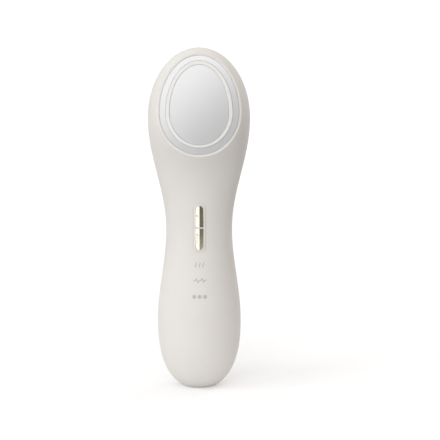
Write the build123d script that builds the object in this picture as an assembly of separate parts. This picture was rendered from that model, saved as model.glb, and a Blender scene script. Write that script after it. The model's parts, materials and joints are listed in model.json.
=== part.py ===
"""Hand-held hot and cool facial toning wand.

The wand stands upright on its foot. Millimetres, +Z up along the wand, the treatment face looks
towards -Y, and the origin is the middle of the foot on the ground. The casing is two half shells
that meet on the plane y = 0, where the wand is widest.
"""

from build123d import *

from dataclasses import dataclass
from math import asin, cos, pi, radians, sin, sqrt, tan
import os

# ---------------------------------------------------------------- casing, seen from the front
grip_height = 34.0           # where the grip is widest
grip_half_width = 20.9
waist_rise = 47.0            # of the slimmest place above the widest place of the grip
waist_half_width = 16.5
head_rise = 56.0             # of the widest place of the head above the slimmest place
head_half_width = 25.35
crown_rise = 35.0            # of the top above the widest place of the head
head_fullness = 2.0          # 2 is an ellipse, more is squarer
grip_fullness = 2.4

# ---------------------------------------------------------------- casing, seen from the side
head_back = 19.0
waist_front = 13.0
waist_back = 14.0
grip_front = 17.0
grip_back = 17.5
neck_sweep = 3.0             # how late the neck turns forward to the lip
wall = 2.0
floor_wall = 2.4
seam_width = 0.2             # of each shell's half of the groove along the parting line
seam_depth = 0.35
overrun = 1.0                # of cuts beyond what they cut

# ---------------------------------------------------------------- treatment face
face_tilt = 15.6             # degrees that the face looks upwards
crown_margin = 1.95          # of the casing above the face
side_margin = 4.7            # of the casing beside the face, at the head's widest place
face_depth = 12.75           # of the face's widest line in front of the parting plane
lip_top = 29.5
lip_bottom = 21.8
lip_width = 1.2
lip_round = 0.8
lip_bevel = 0.15
face_wall = 3.0
ring_width = 2.9
ring_width_top = 2.5
ring_width_bottom = 3.15
ring_recess = 1.6
ring_ledge = 1.4
insulator_width = 2.05
insulator_width_top = 2.2
insulator_width_bottom = 1.5
insulator_proud = 0.1        # of the insulating ring above the dome
insulator_bevel = 0.2
flange_thickness = 1.4
flange_margin = 0.5          # between the carrier flange and the ring's outline
dome_radius = 180.0
dome_rise = 1.45             # of the dome's crown above the lip
dome_centre = 2.9            # of the crown above the widest line
fit_gap = 0.08               # round each piece that is pressed or glued in its seat

# ---------------------------------------------------------------- contact plate and cooler
plate_thickness = 2.4        # at the crown of the dome
plate_rim_width = 1.4
plate_rim_depth = 2.2        # below the lip
seal_thickness = 0.5
cooler_margin = 0.6          # between the cooler's corners and the plate's rim
ceramic_thickness = 0.7
pellet_gap = 2.1             # between pellets
pellet_height = 1.5
pellet_rows = 5
pad_thickness = 0.5
sensor_radius = 0.9
sensor_height = 1.3
sensor_offset = 2.4          # of the sensor below the cooler
terminal_width = 3.0
terminal_thickness = 0.5
terminal_back = -5.5

# ---------------------------------------------------------------- heat sink and fan
sink_width = 31.0
sink_height = 28.0
sink_base = 1.8
fin_height = 6.5
fin_thickness = 0.9
fin_count = 9
sink_screw_margin = 1.0      # of the sink's screws above and below the cooler
sink_screw_length = 4.6
fan_side = 25.0
fan_depth = 7.5
fan_bore = 23.0
fan_corner = 3.0
fan_hub_radius = 5.5
fan_blade_count = 7
fan_blade_chord = 5.0
fan_blade_thickness = 0.6
fan_blade_pitch = 38.0       # degrees
fan_tip_gap = 0.6
fan_screw_offset = 10.5
fan_screw_bite = 3.5         # into the heat sink
fan_motor_radius = 4.2
fan_motor_depth = 3.6
fan_floor = 1.2
strut_width = 1.6
strut_turns = (30, 150, 270)  # degrees round the fan's axis
hub_gap = 0.3
hub_wall = 0.8
bush_radius = 1.6
shaft_radius = 0.75
shaft_gap = 0.03
grille_radius = 12.0
grille_seat = 15.0           # of its flat seat behind the parting plane
grille_rim = 0.6
grille_ledge = 1.5
grille_slot = 1.4
grille_pitch = 2.8

# ---------------------------------------------------------------- buttons
button_rise = 3.05           # of the strip's middle above the slimmest place
cap_width = 4.1
strip_length = 22.1
strip_bevel = 1.3            # of the strip's cut corners
cap_split = 0.95             # gap between the two caps
cap_proud = 0.8              # of the ridge in front of the casing
ridge_height = 1.0
cap_gap = 0.1
bezel_width = 0.7
bezel_corner = 2.2
bezel_proud = 0.1
bezel_bevel = 0.15
bezel_depth = 1.1            # of the bezel's recess in the casing
bridge_sink = 0.08           # of the bridge between the caps below their facets
cap_flange = 0.8
cap_flange_thickness = 0.6
button_travel = 0.4
switch_width = 4.0
switch_length = 5.0
switch_thickness = 1.2
plunger_radius = 0.9
plunger_gap = 0.05
plunger_entry = 0.3          # of the plunger in its switch at rest
switch_gap = 0.33            # between a switch and the cap that is pressed all the way

# ---------------------------------------------------------------- main board
board_thickness = 1.0
board_side_gap = 6.0         # between the board's edges and the casing's wall at the waist
board_tail = 4.8             # of the board below the lowest lamp
board_margin = 1.8           # of the board above the buzzer
board_corner = 1.0
board_screw_inset = 2.2      # of the board's screws from its sides
board_screw_end = 4.0        # of the board's screws from its ends
board_screw_length = 3.6
lamp_drop = 7.55             # of the first mode mark below the button strip
lamp_pitch = 7.9
lamp_side = 2.0
lamp_thickness = 0.8
guide_width = 6.0
guide_height = 2.4
guide_corner = 0.5
guide_gap = 0.1
mark_wall = 0.6              # casing left in front of each light guide
component_gap = 0.6          # between components that follow each other up the board
lead_socket_width = 4.4
lead_socket_depth = 3.6
lead_socket_margin = 0.7     # of the sockets from the board's sides
lead_socket_rise = 4.2       # of the sockets above the battery's board
chip_side = 7.0
chip_thickness = 0.9
capacitor_radius = 2.5
capacitor_depth = 6.0
capacitor_margin = 1.5       # of the capacitors from the board's sides
transformer_side = 9.0
transformer_depth = 6.5
buzzer_radius = 4.0
buzzer_depth = 2.4

# ---------------------------------------------------------------- battery and charging
cell_length = 50.0
cell_gap = 1.2               # between the cell and the charging board
cell_front_gap = 1.4         # between the cell and the main board
cell_back_gap = 0.92         # between the cell and the rear shell, at the cell's top
cell_round = 0.6
cell_button_radius = 3.0
cell_button_height = 0.6
cell_pad_thickness = 0.5
rib_width = 9.6
rib_thickness = 3.0
rib_end = 9.0                # of the ribs from the cell's ends
protection_inset = 1.5       # of the protection board's edge from the cell's
protection_thickness = 0.8
foot_half_width = 7.5
foot_half_depth = 6.2
foot_thickness = 1.5
foot_round = 0.4
foot_proud = 0.3
foot_sink = 1.2              # how far below the ground the bottom's curve would close
port_width = 8.94
port_height = 3.16
port_length = 7.3
port_wall = 0.3
port_gap = 0.15
port_block = 1.2             # solid inner end of the socket
port_setback = 0.8           # of the socket's mouth above the ground
tongue_width = 6.7
tongue_thickness = 0.7
tongue_length = 4.6
charge_board_thickness = 1.0
charge_board_width = 13.0
charge_board_bottom = 3.0
charge_board_top = 11.8
charge_screw_side = 5.0
charge_screw_height = 10.1
charge_screw_length = 4.0

# ---------------------------------------------------------------- fasteners and seam
screw_radius = 1.0
screw_head_radius = 1.9
screw_head_thickness = 1.3
screw_gap = 0.05
small_screw_radius = 0.7
small_head_radius = 1.3
small_head_thickness = 0.8
boss_radius = 2.4
small_boss_radius = 1.7
upper_screw_drop = 25.0      # below the widest place of the head
upper_screw_side = 12.0
lower_screw_height = 10.0
lower_screw_side = 10.2
screw_seat = 6.0             # of the screw heads behind the parting plane
screw_length = 13.0
plug_float = 0.4             # between a screw's head and its plug
plug_gap = 0.05

# ---------------------------------------------------------------- internal leads
lead_radius = 0.4
lead_bend = 3.0              # of each straight run beside a bend
lead_gap = 0.9               # between the leads and the lower edge of the heat sink
lead_side_margin = 0.35      # between the outermost lead and the hollow behind the plate
battery_lead_front = -0.5
charge_lead_side = 5.6
charge_lead_height = 7.0

tilt = radians(face_tilt)
waist_height = grip_height + waist_rise
head_height = waist_height + head_rise
overall_height = head_height + crown_rise
lip_half_width = head_half_width - side_margin
lip_high = overall_height - crown_margin
face_height = lip_high - lip_top * cos(tilt)
reach = 60.0                 # longer than any way through the wand


# ================================================================ the casing's form
@dataclass(frozen=True)
class Egg:
    """An egg outline on the treatment face: two half ellipses that share their width."""

    half_width: float
    top: float
    bottom: float

    def grown(self, by):
        """The same egg with its edge moved outwards."""
        return Egg(self.half_width + by, self.top + by, self.bottom + by)

    def inset(self, side, top, bottom):
        """The same egg with its sides, its top and its bottom each moved inwards."""
        return Egg(self.half_width - side, self.top - top, self.bottom - bottom)

    def half_width_at(self, rise):
        """Half the egg's width at a distance above its widest line."""
        length = self.top if rise > 0 else self.bottom
        return self.half_width * sqrt(max(0.0, 1 - (rise / length) ** 2))

    def square(self):
        """The side of the largest upright square in the egg, and its middle above the widest line."""
        height = self.top + self.bottom
        side = 2 * self.half_width * height / sqrt(height**2 + 4 * self.half_width**2)
        return side, side / 2 * (self.top - self.bottom) / height

    def face(self):
        """The egg as a flat face."""
        upper = EllipticalCenterArc((0, 0), self.half_width, self.top, 0, arc_size=180)
        lower = EllipticalCenterArc((0, 0), self.half_width, self.bottom, 180, arc_size=180)
        return make_face(upper + lower)

    def prism(self, low, high):
        """The egg carried along the face's normal from one level to another."""
        return face_frame * Pos(0, 0, low) * extrude(self.face(), high - low)


face_frame = Plane(
    origin=(0, -face_depth, face_height), x_dir=(1, 0, 0), z_dir=(0, -cos(tilt), sin(tilt))
)
lip = Egg(lip_half_width, lip_top, lip_bottom)
ring_outline = lip.grown(-lip_width)
insulator_outline = ring_outline.inset(ring_width, ring_width_top, ring_width_bottom)
plate_outline = insulator_outline.inset(
    insulator_width, insulator_width_top, insulator_width_bottom
)
flange_outline = ring_outline.grown(-flange_margin)
ledge_outline = ring_outline.grown(-ring_ledge)
lip_low = face_height - lip_bottom * cos(tilt)


def blend(start, end, share):
    """A size that swings smoothly from one value to another."""
    return start + (end - start) * (1 - cos(pi * share)) / 2


def cap(share, fullness):
    """How a rounded end closes: 1 at its widest, 0 at its tip."""
    return max(0.0, 1 - min(1.0, share) ** fullness) ** (1 / fullness)


def bottom_cap(height):
    """The share of the grip's size that is left at a height below its widest place."""
    return cap((grip_height - height) / (grip_height + foot_sink), grip_fullness)


def top_cap(height):
    """The share of the head's size that is left at a height above its widest place."""
    return cap((height - head_height) / (overall_height - head_height), head_fullness)


def side_size(height, grip, waist, head):
    """One size of the casing at a height, from its values at the grip, the waist and the head."""
    if height <= grip_height:
        return grip * bottom_cap(height)
    if height <= waist_height:
        return blend(grip, waist, (height - grip_height) / (waist_height - grip_height))
    if height <= head_height:
        return blend(waist, head, (height - waist_height) / (head_height - waist_height))
    return head * top_cap(height)


def half_width(height):
    """Half the casing's width at a height."""
    return side_size(height, grip_half_width, waist_half_width, head_half_width)


def back_depth(height):
    """How far the casing reaches behind the parting plane at a height."""
    return side_size(height, grip_back, waist_back, head_back)


def face_plane_depth(height):
    """How far the plane of the treatment face lies in front of the parting plane."""
    return face_depth - tan(tilt) * (height - face_height)


def front_depth(height):
    """How far the casing would reach in front of the parting plane before the face is cut."""
    if height <= waist_height:
        return side_size(height, grip_front, waist_front, waist_front)
    if height <= lip_low:
        share = (height - waist_height) / (lip_low - waist_height)
        return waist_front + (face_plane_depth(lip_low) - waist_front) * share**neck_sweep
    if height <= lip_high:
        egg_width = lip.half_width_at((height - face_height) / cos(tilt))
        return face_plane_depth(height) / sqrt(1 - (egg_width / half_width(height)) ** 2)
    return face_plane_depth(lip_high) * half_width(height) / half_width(lip_high)


def inset_size(size, height, inset):
    """A size of the casing with its skin moved inwards all round."""
    if height > head_height:
        full, short = overall_height - head_height, overall_height - inset - head_height
        outer_height = head_height + (height - head_height) * full / short
        return size(outer_height) * (1 - inset / size(head_height))
    if height < grip_height:
        full, short = grip_height + foot_sink, grip_height + foot_sink - inset
        outer_height = grip_height - (grip_height - height) * full / short
        return size(outer_height) * (1 - inset / size(grip_height))
    return size(height) - inset


def steps(start, end, count):
    """Evenly spaced heights from start up to, but not with, end."""
    return [start + (end - start) * i / count for i in range(count)]


def section_heights(bottom, top):
    """The heights of the casing's cross-sections, closer together where it closes."""
    low_turn = asin((grip_height - bottom) / (grip_height + foot_sink))
    bottom_end = [
        grip_height - (grip_height + foot_sink) * sin(turn) for turn in steps(low_turn, 0, 7)
    ]
    middle = steps(grip_height, waist_height, 6) + steps(waist_height, lip_low, 6)
    middle += steps(lip_low, head_height, 4)
    top_end = [head_height + (top - head_height) * sin(turn) for turn in steps(0, pi / 2, 12)]
    return bottom_end + middle + top_end


def half_casing(side, inset, bottom):
    """The solid form of one half of the casing; side is -1 in front and 1 behind."""
    size = front_depth if side < 0 else back_depth
    top = overall_height - inset
    sections = []
    for height in section_heights(bottom, top):
        width = inset_size(half_width, height, inset)
        depth = inset_size(size, height, inset)
        start = 180 if side < 0 else 0
        arc = EllipticalCenterArc((0, 0), width, depth, start, arc_size=180)
        sections.append(Pos(0, 0, height) * make_face(arc + Line(arc @ 1, arc @ 0)))
    return loft(sections + [Vertex(0, 0, top)])


def casing_surface(x, z):
    """How far the front of the casing reaches at a place on the grip or the waist."""
    return front_depth(z) * sqrt(1 - (x / half_width(z)) ** 2)


# ================================================================ levels and places
# Levels along the normal of the treatment face, from the lip's plane backwards.
plate_back = dome_rise - plate_thickness
cold_front = plate_back - pad_thickness
cold_back = cold_front - ceramic_thickness
hot_front = cold_back - pellet_height
hot_back = hot_front - ceramic_thickness
sink_front = hot_back - pad_thickness
sink_back = sink_front - sink_base
fin_tip = sink_back - fin_height
fan_back = fin_tip - fan_depth
fan_floor_top = fan_back + fan_floor
hub_back = fan_floor_top + hub_gap
hub_front = fin_tip - hub_gap
seat_level = -plate_rim_depth - seal_thickness
carrier_back = -face_wall - flange_thickness

seat_outline = plate_outline.grown(-plate_rim_width)
post_outline = plate_outline.grown(insulator_width / 2)
hollow_side, cooler_rise = seat_outline.square()
cooler_side = hollow_side - 2 * cooler_margin
pellet_pitch = cooler_side / pellet_rows
sink_screw_rise = cooler_side / 2 + sink_screw_margin
sink_screw_places = [
    (side * post_outline.half_width_at(rise), rise)
    for rise in (cooler_rise - sink_screw_rise, cooler_rise + sink_screw_rise)
    for side in (-1, 1)
]
fan_screw_places = [
    (side * fan_screw_offset, cooler_rise + side * fan_screw_offset) for side in (-1, 1)
]
terminal_rise = -(insulator_outline.bottom + ledge_outline.bottom) / 2
sensor_rise = cooler_rise - cooler_side / 2 - sensor_offset

# The fan's axis leaves the back of the head at the middle of the grille.
fan_throw = (head_back + face_depth - cooler_rise * sin(tilt)) / cos(tilt)
grille_height = face_height + cooler_rise * cos(tilt) - fan_throw * sin(tilt)

button_height = waist_height + button_rise
casing_front = front_depth(button_height)
bezel_outer_width = cap_width + 2 * (cap_gap + bezel_width)
bezel_length = strip_length + 2 * (cap_gap + bezel_width)
bezel_back = casing_front - bezel_depth
flange_half_width = cap_width / 2 + cap_flange
cap_back = casing_surface(flange_half_width, button_height) - wall - cap_gap
flange_back = cap_back - cap_flange_thickness
switch_front = flange_back - button_travel - switch_gap

board_front = switch_front - switch_thickness
board_back = board_front - board_thickness
board_middle = -(board_front + board_back) / 2
board_width = 2 * (waist_half_width - wall - board_side_gap)
board_screw_side = board_width / 2 - board_screw_inset
lead_socket_side = board_width / 2 - lead_socket_margin - lead_socket_width / 2
capacitor_side = board_width / 2 - capacitor_margin - capacitor_radius

cell_bottom = charge_board_top + cell_gap
cell_top = cell_bottom + cell_length
cell_middle = (cell_bottom + cell_top) / 2
cell_front = board_back - cell_front_gap
cell_radius = (cell_front + back_depth(cell_top) - wall - cell_back_gap) / 2
cell_back = cell_radius - cell_front
battery_top = cell_top + cell_button_height + protection_thickness
lead_socket_height = battery_top + lead_socket_rise
chip_height = lead_socket_height + (lead_socket_width + chip_side) / 2 + component_gap
capacitor_height = chip_height + chip_side / 2 + capacitor_radius + component_gap
transformer_height = capacitor_height + capacitor_radius + transformer_side / 2 + component_gap
buzzer_height = transformer_height + transformer_side / 2 + buzzer_radius + component_gap

board_top = buzzer_height + buzzer_radius + board_margin
mark_height = button_height - strip_length / 2 - lamp_drop
lamp_heights = [mark_height - lamp_pitch * i for i in range(3)]
board_bottom = lamp_heights[-1] - board_tail
board_screw_places = [
    (side * board_screw_side, height)
    for height in (board_bottom + board_screw_end, board_top - board_screw_end)
    for side in (-1, 1)
]
shell_screw_places = [
    (side * offset, height)
    for offset, height in (
        (upper_screw_side, head_height - upper_screw_drop),
        (lower_screw_side, lower_screw_height),
    )
    for side in (-1, 1)
]
lead_pass = cooler_rise - sink_height / 2 - lead_gap - lead_radius
plate_lead_side = seat_outline.half_width_at(lead_pass) - lead_radius - lead_side_margin
cooler_lead_side = plate_lead_side * 2 / 3
fan_lead_side = plate_lead_side / 3
rib_heights = [cell_bottom + rib_end, cell_top - rib_end]
charge_board_front = port_height / 2
charge_board_back = charge_board_front + charge_board_thickness
charge_screw_places = [(side * charge_screw_side, charge_screw_height) for side in (-1, 1)]


def guide_front(height):
    """How far a light guide reaches towards the casing's front."""
    return casing_surface(guide_width / 2, height + guide_height / 2) - mark_wall


# ================================================================ plain shapes in their places
def block(x, y, z):
    """A box between two values on each axis."""
    middle = [(low + high) / 2 for low, high in (x, y, z)]
    size = [high - low for low, high in (x, y, z)]
    return Pos(*middle) * Box(*size)


def rod(x, z, front, back, radius):
    """A round rod along Y."""
    return Pos(x, (front + back) / 2, z) * Rot(90, 0, 0) * Cylinder(radius, back - front)


def along_y(outline, front, back, z):
    """An outline carried along Y at a height."""
    plane = Plane(origin=(0, front, z), x_dir=(1, 0, 0), z_dir=(0, 1, 0))
    return extrude(plane * outline, back - front)


def bar(width, height, corner, front, back, z):
    """A bar along Y with rounded corners."""
    return along_y(RectangleRounded(width, height, corner), front, back, z)


def face_rod(x, rise, low, high, radius):
    """A round rod along the normal of the treatment face."""
    return face_frame * Pos(x, rise, (low + high) / 2) * Cylinder(radius, high - low)


def face_block(width, height, low, high, x=0, rise=cooler_rise):
    """A box along the normal of the treatment face."""
    return face_frame * Pos(x, rise, (low + high) / 2) * Box(width, height, high - low)


def joined(solids):
    """Several touching or overlapping solids as one."""
    whole = solids[0]
    for solid in solids[1:]:
        whole += solid
    return whole


def in_front_of_face(level):
    """The space in front of a level of the treatment face."""
    return face_frame * Pos(0, 0, level + reach / 2) * Box(4 * reach, 4 * reach, reach)


def foremost(faces):
    """The face that lies furthest out along the treatment face's normal."""
    return faces.sort_by(Axis(face_frame.origin, face_frame.z_dir))[-1]


# ================================================================ casing
front_form = fillet(
    foremost((half_casing(-1, 0, foot_proud) - in_front_of_face(0)).faces()).edges(), lip_round
)
front_cavity = half_casing(-1, wall, floor_wall) - in_front_of_face(-face_wall)
rear_form = half_casing(1, 0, foot_proud)
rear_cavity = half_casing(1, wall, floor_wall)


def foot_plug(gap=0):
    """The foot's outline carried up from the ground."""
    return extrude(Ellipse(foot_half_width + gap, foot_half_depth + gap), foot_thickness)


def port_hole():
    """The way for the charging socket through the foot and the floor."""
    outline = SlotOverall(port_width + 2 * port_gap, port_height + 2 * port_gap)
    return Pos(0, 0, -overrun) * extrude(outline, floor_wall + 2 * overrun)


def seam_groove(side):
    """One shell's half of the fine groove along the parting line."""
    y = (-seam_width, 0) if side < 0 else (0, seam_width)
    slab = block((-reach, reach), y, (0, overall_height + overrun))
    return slab - half_casing(side, seam_depth, foot_proud)


def strip_bar(front, back, gap=0):
    """The outline of the button strip, a bar with cut corners, with room round it."""
    outline = Rectangle(cap_width + 2 * gap, strip_length + 2 * gap)
    outline = chamfer(outline.vertices(), strip_bevel + (2 - sqrt(2)) * gap)
    return along_y(outline, front, back, button_height)


def cell_ribs(form, side):
    """Ribs that hold the battery cell, from the shell's wall up to the cell's pads."""
    y = (-reach, 0) if side < 0 else (0, reach)
    ribs = [rib_window(y, z) for z in rib_heights if side > 0 or z < board_bottom]
    return (joined(ribs) & form) - cell_cylinder(cell_pad_thickness)


def rib_window(y, z):
    """The slab that one of the cell's ribs lies in."""
    return block((-rib_width / 2, rib_width / 2), y, (z - rib_thickness / 2, z + rib_thickness / 2))


def cell_cylinder(gap=0):
    """The battery cell's outline with room round it."""
    return Pos(0, cell_back, cell_middle) * Cylinder(cell_radius + gap, cell_length)


def front_shell():
    """The front half of the casing, with the rolled lip of the treatment face."""
    bosses = [rod(x, z, -reach, -board_front, small_boss_radius) for x, z in board_screw_places]
    bosses += [rod(x, z, -reach, 0, boss_radius) for x, z in shell_screw_places]
    shell = front_form - front_cavity + [boss & front_form for boss in bosses]
    shell += cell_ribs(front_form, -1)
    shell -= ring_outline.grown(fit_gap).prism(-ring_recess, reach / 4)
    shell = chamfer(foremost(shell.faces()).inner_wires()[0].edges(), lip_bevel)
    small_hole_end = -board_back - board_screw_length - screw_gap
    cuts = [
        rod(x, z, small_hole_end, 0, small_screw_radius + screw_gap) for x, z in board_screw_places
    ]
    cuts += [
        rod(x, z, screw_seat - screw_length - screw_gap, overrun, screw_radius + screw_gap)
        for x, z in shell_screw_places
    ]
    cuts.append(ledge_outline.prism(-face_wall - overrun, 0))
    cuts.append(bar(
        bezel_outer_width + 2 * fit_gap, bezel_length + 2 * fit_gap, bezel_corner + fit_gap,
        -casing_front - overrun, -bezel_back, button_height,
    ))
    cuts.append(strip_bar(-casing_front, -board_front, cap_gap))
    for z in lamp_heights:
        cuts.append(bar(
            guide_width + 2 * guide_gap, guide_height + 2 * guide_gap, guide_corner,
            -guide_front(z) - fit_gap, -board_front, z,
        ))
    return shell - cuts - [foot_plug(fit_gap), port_hole(), seam_groove(-1)]


def rear_shell():
    """The rear half of the casing, with its screw bosses and the seat of the grille."""
    bosses = [rod(x, z, 0, reach, boss_radius) for x, z in shell_screw_places]
    bosses += [rod(x, z, charge_board_back, reach, small_boss_radius) for x, z in charge_screw_places]
    collar_front = grille_seat - grille_ledge
    bosses.append(rod(0, grille_height, collar_front, reach, grille_radius + grille_ledge))
    shell = rear_form - rear_cavity + [boss & rear_form for boss in bosses]
    shell += cell_ribs(rear_form, 1)
    small_hole_end = charge_board_front + charge_screw_length + screw_gap
    cuts = [
        rod(x, z, 0, small_hole_end, small_screw_radius + screw_gap) for x, z in charge_screw_places
    ]
    for x, z in shell_screw_places:
        cuts.append(rod(x, z, -overrun, screw_seat + overrun, screw_radius + screw_gap))
        cuts.append(rod(x, z, screw_seat, reach, screw_head_radius + plug_gap))
    cuts.append(rod(0, grille_height, grille_seat, reach, grille_radius + fit_gap))
    cuts.append(rod(0, grille_height, 0, reach, grille_radius - grille_ledge))
    return shell - cuts - [foot_plug(fit_gap), port_hole(), seam_groove(1)]


def base_foot():
    """The flat foot let into the bottom, with the opening of the charging port."""
    foot = foot_plug()
    foot = fillet(foot.edges().group_by(Axis.Z)[0], foot_round)
    return foot - port_hole()


def vent_grille():
    """The round grille in the back of the head, flush with the casing."""
    disc = rod(0, grille_height, grille_seat, reach, grille_radius) & rear_form
    disc -= rod(0, grille_height, 0, grille_seat + grille_rim, grille_radius - grille_ledge)
    open_radius = grille_radius - grille_ledge - grille_slot / 2
    rows = int(open_radius / grille_pitch)
    for row in range(-rows, rows + 1):
        length = 2 * sqrt(open_radius**2 - (row * grille_pitch) ** 2)
        slot = SlotOverall(length, grille_slot)
        disc -= along_y(slot, 0, reach, grille_height + row * grille_pitch)
    return disc


def shell_screws():
    """The four screws that hold the shells together."""
    return [
        rod(x, z, screw_seat, screw_seat + screw_head_thickness, screw_head_radius)
        + rod(x, z, screw_seat - screw_length, screw_seat, screw_radius)
        for x, z in shell_screw_places
    ]


def screw_plugs():
    """The soft plugs that close the screw holes, flush with the casing."""
    front = screw_seat + screw_head_thickness + plug_float
    return [rod(x, z, front, reach, screw_head_radius) & rear_form for x, z in shell_screw_places]


# ================================================================ treatment face
def dome(proud=0):
    """The ball whose cap is the face that touches the skin, with its poles off the face."""
    ball = Rot(90, 0, 0) * Sphere(dome_radius + proud)
    return face_frame * Pos(0, dome_centre, dome_rise - dome_radius) * ball


def electrode_ring():
    """The silver ring round the insulator."""
    ring = ring_outline.prism(-ring_recess, reach / 4) & dome()
    return ring - insulator_outline.prism(-ring_recess - overrun, reach / 4)


def ring_terminal(gap=0):
    """The tab behind the electrode ring that carries its current through the carrier."""
    width, thickness = terminal_width + 2 * gap, terminal_thickness + 2 * gap
    return face_block(width, thickness, terminal_back, -ring_recess, rise=terminal_rise)


def insulating_ring():
    """The carrier of the contact plate, whose rib shows between the two metals."""
    rib = insulator_outline.grown(-fit_gap).prism(carrier_back, reach / 4) & dome(insulator_proud)
    carrier = rib + flange_outline.prism(carrier_back, -face_wall)
    carrier -= plate_outline.grown(fit_gap).prism(seat_level, reach / 4)
    carrier = chamfer(foremost(carrier.faces()).edges(), insulator_bevel)
    carrier -= seat_outline.prism(carrier_back - overrun, 0)
    for x, rise in sink_screw_places:
        carrier += face_rod(x, rise, sink_front, carrier_back, small_boss_radius)
        top = sink_back + sink_screw_length + screw_gap
        carrier -= face_rod(x, rise, sink_front - overrun, top, small_screw_radius + screw_gap)
    return carrier - ring_terminal(screw_gap)


def contact_plate():
    """The domed plate that warms or cools the skin, hollow behind its rim."""
    plate = plate_outline.prism(-plate_rim_depth, reach / 4) & dome()
    return plate - seat_outline.prism(-plate_rim_depth - overrun, plate_back)


def plate_seal():
    """The flat seal under the rim of the contact plate."""
    ring = plate_outline.prism(seat_level, -plate_rim_depth)
    return ring - seat_outline.prism(seat_level - overrun, 0)


def temperature_sensor():
    """The bead on the back of the contact plate, below the cooler."""
    return face_rod(0, sensor_rise, plate_back - sensor_height, plate_back, sensor_radius)


# ================================================================ cooler, heat sink and fan
def cooler_slab(front, back):
    """A square slab in the cooler's stack."""
    return face_block(cooler_side, cooler_side, back, front)


def cooler_pellets():
    """The grid of pellets between the cooler's two ceramics."""
    side = pellet_pitch - pellet_gap
    offsets = [pellet_pitch * (i - (pellet_rows - 1) / 2) for i in range(pellet_rows)]
    return [
        face_block(side, side, hot_front, cold_back, x, cooler_rise + rise)
        for x in offsets
        for rise in offsets
    ]


def heat_sink():
    """The finned heat sink behind the cooler, with two posts for the fan's screws."""
    hole = small_screw_radius + screw_gap
    pitch = (sink_width - fin_thickness) / (fin_count - 1)
    sink = face_block(sink_width, sink_height, sink_back, sink_front)
    for i in range(fin_count):
        x = pitch * (i - (fin_count - 1) / 2)
        sink += face_block(fin_thickness, sink_height, fin_tip, sink_back, x)
    for x, rise in fan_screw_places:
        sink += face_rod(x, rise, fin_tip, sink_back, small_boss_radius)
        sink -= face_rod(x, rise, fin_tip - overrun, fin_tip + fan_screw_bite + screw_gap, hole)
    for x, rise in sink_screw_places:
        sink -= face_rod(x, rise, fin_tip - overrun, sink_back, small_head_radius + 2 * screw_gap)
        sink -= face_rod(x, rise, sink_back - overrun, sink_front + overrun, hole)
    return sink


def face_screw(x, rise, seat, length):
    """A small screw along the normal of the face, its head behind the seat."""
    head = face_rod(x, rise, seat - small_head_thickness, seat, small_head_radius)
    return head + face_rod(x, rise, seat, seat + length, small_screw_radius)


def fan_frame():
    """The square frame of the fan, with the struts that carry the motor."""
    outline = RectangleRounded(fan_side, fan_side, fan_corner)
    frame = face_frame * Pos(0, cooler_rise, fan_back) * extrude(outline, fan_depth)
    frame -= face_rod(0, cooler_rise, fan_back - overrun, fin_tip + overrun, fan_bore / 2)
    strut_length = (fan_bore + fan_side) / 4
    for turn in strut_turns:
        strut = Pos(strut_length / 2, 0, 0) * Box(strut_length, strut_width, fan_floor)
        frame += face_frame * Pos(0, cooler_rise, fan_back + fan_floor / 2) * Rot(0, 0, turn) * strut
    frame += face_rod(0, cooler_rise, fan_back, fan_floor_top, fan_hub_radius)
    frame -= face_rod(0, cooler_rise, fan_back - overrun, fin_tip, bush_radius)
    hole = small_screw_radius + screw_gap
    for x, rise in fan_screw_places:
        frame -= face_rod(x, rise, fan_back - overrun, fin_tip + overrun, hole)
    return frame


def fan_bush():
    """The bush that the fan's shaft turns in."""
    top = fan_floor_top + fan_motor_depth
    bush = face_rod(0, cooler_rise, fan_back, top, bush_radius)
    bore = shaft_radius + shaft_gap
    return bush - face_rod(0, cooler_rise, fan_back - overrun, top + overrun, bore)


def fan_motor():
    """The wound stator round the bush."""
    top = fan_floor_top + fan_motor_depth
    stator = face_rod(0, cooler_rise, fan_floor_top, top, fan_motor_radius)
    return stator - face_rod(0, cooler_rise, fan_back, top + overrun, bush_radius)


def fan_shaft():
    """The fan's shaft, from the bottom of the bush to the hub."""
    return face_rod(0, cooler_rise, fan_back + hub_gap, hub_front - hub_wall, shaft_radius)


def fan_impeller():
    """The cup-shaped hub with its pitched blades."""
    hub = face_rod(0, cooler_rise, hub_back, hub_front, fan_hub_radius)
    tip = fan_bore / 2 - fan_tip_gap
    radial = tip - fan_hub_radius + hub_wall / 2
    hub_middle = face_frame * Pos(0, cooler_rise, (hub_back + hub_front) / 2)
    for i in range(fan_blade_count):
        blade = Rot(fan_blade_pitch, 0, 0) * Box(radial, fan_blade_chord, fan_blade_thickness)
        turned = Rot(0, 0, 360 / fan_blade_count * i) * Pos(tip - radial / 2, 0, 0) * blade
        hub += hub_middle * turned
    inside = fan_hub_radius - hub_wall
    return hub - face_rod(0, cooler_rise, hub_back - overrun, hub_front - hub_wall, inside)


# ================================================================ buttons
def cap_middle(side):
    """The height of the middle of one cap; side is 1 for the upper and -1 for the lower one."""
    return button_height + side * (cap_split + strip_length) / 4


def ridged_bar(half, low, high, back, sink=0):
    """A bar along Z with the strip's two facets in front, which may be sunk a little."""
    ridge = -(casing_front + cap_proud) + sink
    edge = ridge + ridge_height
    profile = Polygon(
        (-half, edge), (0, ridge), (half, edge), (half, -back), (-half, -back), align=None
    )
    return Pos(0, 0, low) * extrude(profile, high - low)


def button_cap(side):
    """One gold cap with its ridge, its corners cut at the strip's end."""
    near, far = button_height + side * cap_split / 2, button_height + side * strip_length / 2
    cap_form = ridged_bar(cap_width / 2, min(near, far), max(near, far), cap_back)
    cap_form &= strip_bar(-casing_front - cap_proud - overrun, -cap_back)
    flange_end = far + side * cap_flange
    return cap_form + block(
        (-flange_half_width, flange_half_width),
        (-cap_back, -flange_back),
        (min(near, flange_end), max(near, flange_end)),
    )


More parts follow.
